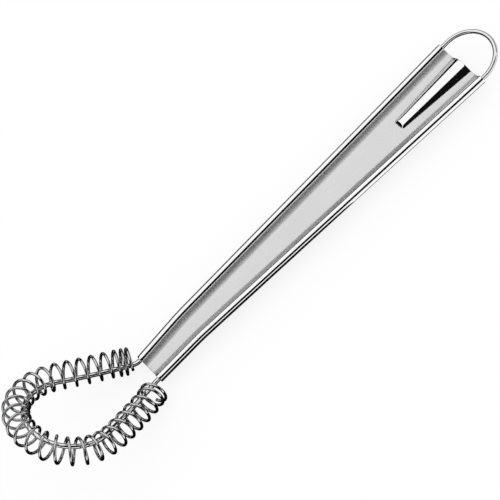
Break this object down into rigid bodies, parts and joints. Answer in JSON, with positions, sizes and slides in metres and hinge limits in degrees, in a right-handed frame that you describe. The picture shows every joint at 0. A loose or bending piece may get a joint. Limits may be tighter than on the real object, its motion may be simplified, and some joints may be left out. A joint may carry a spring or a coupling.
{
  "type": "coil whisk",
  "caption": "Coil whisk: tapered sheet-steel handle with rolled edges, a dished teardrop loop of wire carrying a loose coil spring, and a wire hanging loop.",
  "frame": {"origin": "on the table under the middle of the whisk's bounding box, the whisk lying on its back", "axes": "+Z is the front of the handle's flat plate, +Y runs along the handle to the hanging loop, +X is towards the right rolled edge"},
  "size_m": [0.0536, 0.2508, 0.0389],
  "materials": {
    "polished_sheet": "polished stainless steel sheet",
    "bright_wire": "bright drawn stainless steel wire",
    "spring_wire": "bright drawn stainless spring wire"
  },
  "bodies": {
    "handle": {"handle_shell": "polished_sheet", "loop_wire": "bright_wire", "hanging_loop": "bright_wire"},
    "coil": {"coil_spring": "spring_wire"}
  },
  "joints": [
    {"name": "coil_play", "type": "slide", "parent": "handle", "child": "coil", "axis": [0, -0.8712, 0.4909], "range_m": [-0.0004, 0.0006]}
  ]
}
